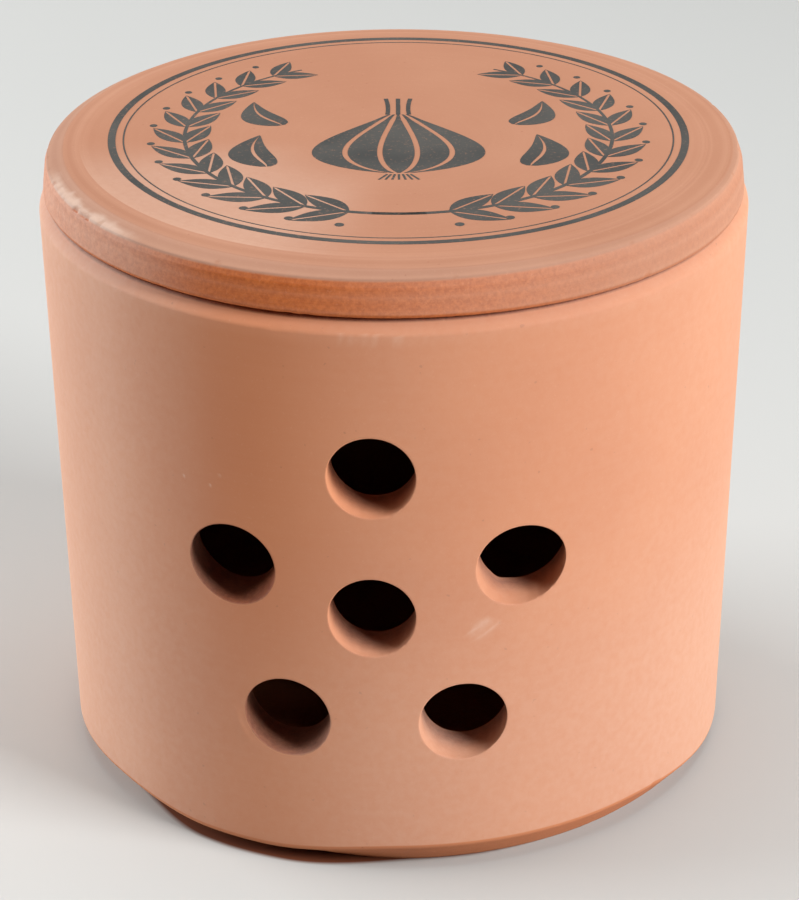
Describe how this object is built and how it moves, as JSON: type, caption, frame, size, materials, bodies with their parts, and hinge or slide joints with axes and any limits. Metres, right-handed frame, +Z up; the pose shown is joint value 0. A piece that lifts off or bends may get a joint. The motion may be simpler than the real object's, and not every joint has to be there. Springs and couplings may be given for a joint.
{
  "type": "garlic keeper",
  "caption": "Round terracotta storage pot with air holes in its front wall and a loose bevelled lid that lifts straight off.",
  "frame": {"origin": "centre of the pot's flat base, where it stands", "axes": "+Z up along the axis of the pot and lid; -Y is the front, where the air holes are; +X to the right seen from the front"},
  "size_m": [0.1304, 0.1304, 0.1188],
  "materials": {
    "terracotta_pot": "unglazed, sponged smooth, matt",
    "terracotta_lid": "unglazed, turned and sponged, matt",
    "printed_ink": "matt fired-on print on the lid's top"
  },
  "bodies": {
    "pot_body": {"pot": "terracotta_pot"},
    "lid_body": {"lid": "terracotta_lid"}
  },
  "joints": [
    {"name": "lid_lift", "type": "slide", "parent": "pot_body", "child": "lid_body", "axis": [0, 0, 1], "range_m": [0, 0.15]}
  ]
}
